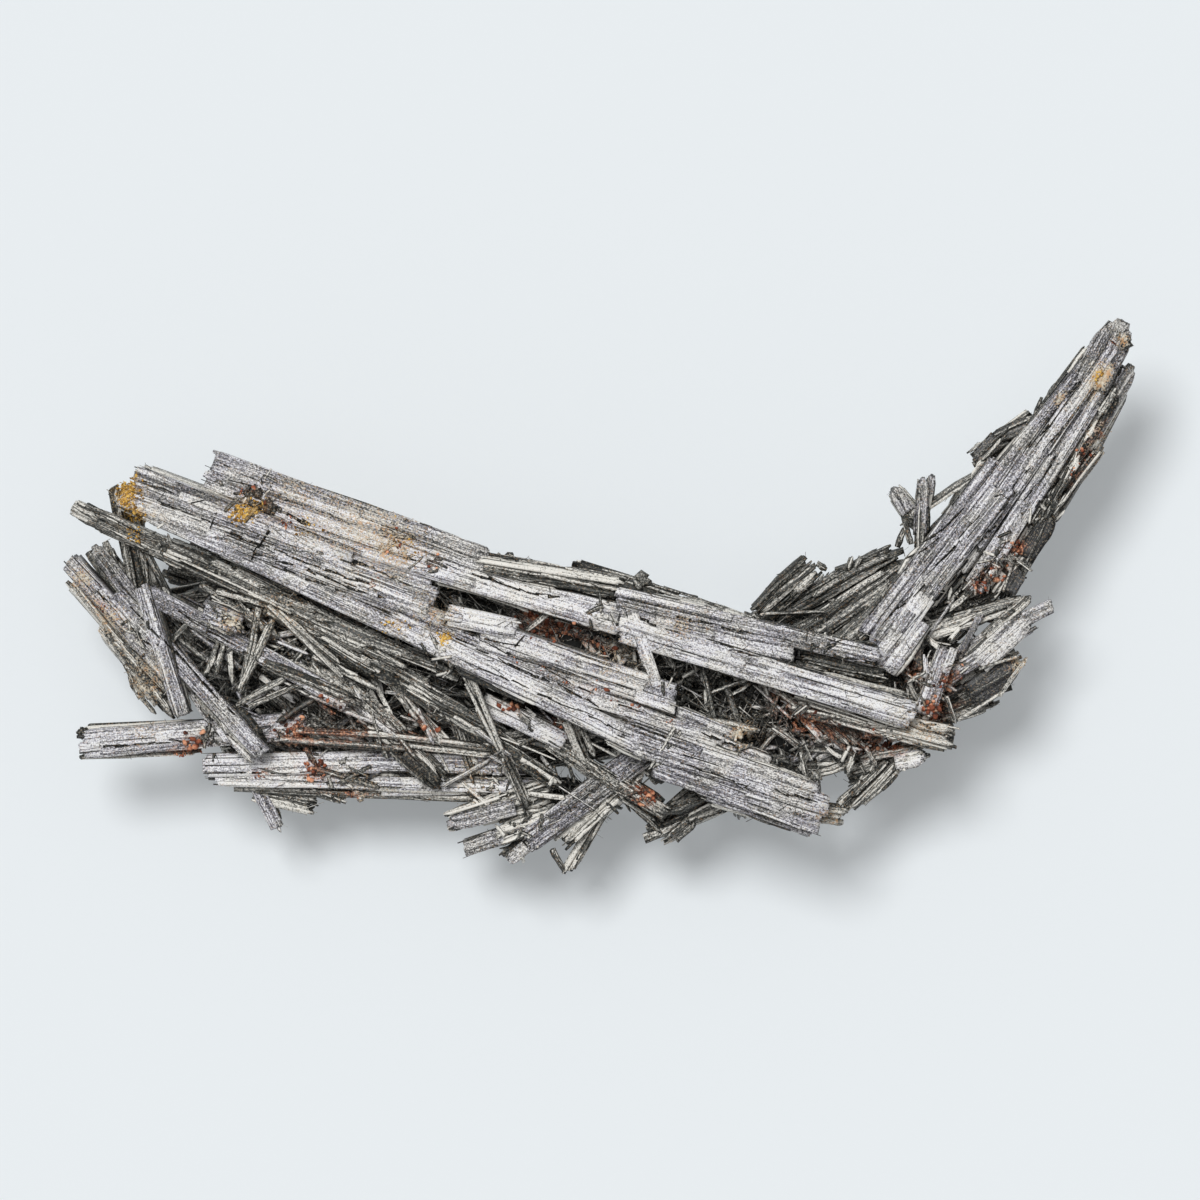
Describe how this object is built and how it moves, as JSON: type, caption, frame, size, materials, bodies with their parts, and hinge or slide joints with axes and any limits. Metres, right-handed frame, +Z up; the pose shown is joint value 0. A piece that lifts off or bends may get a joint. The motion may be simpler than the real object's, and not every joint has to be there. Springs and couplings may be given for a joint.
{
  "type": "arfvedsonite specimen",
  "caption": "Bent, splintery cluster of long dark grey prismatic crystals grown together, with rust-stained hollows and one arm rising like a horn.",
  "frame": {"origin": "centre of the bounding box in plan, on the plane the specimen rests on", "axes": "+X along the cluster towards the tip of its rising arm, +Y across it towards the arm's side, +Z up from the resting plane to the show face"},
  "size_m": [0.1351, 0.0702, 0.0337],
  "materials": {
    "arfvedsonite": "weathered silver-grey to black prism faces with a dull silky lustre, rust-orange oxide in the hollows and ochre stains"
  },
  "bodies": {
    "root": {"crystal_cluster": "arfvedsonite"}
  },
  "joints": []
}
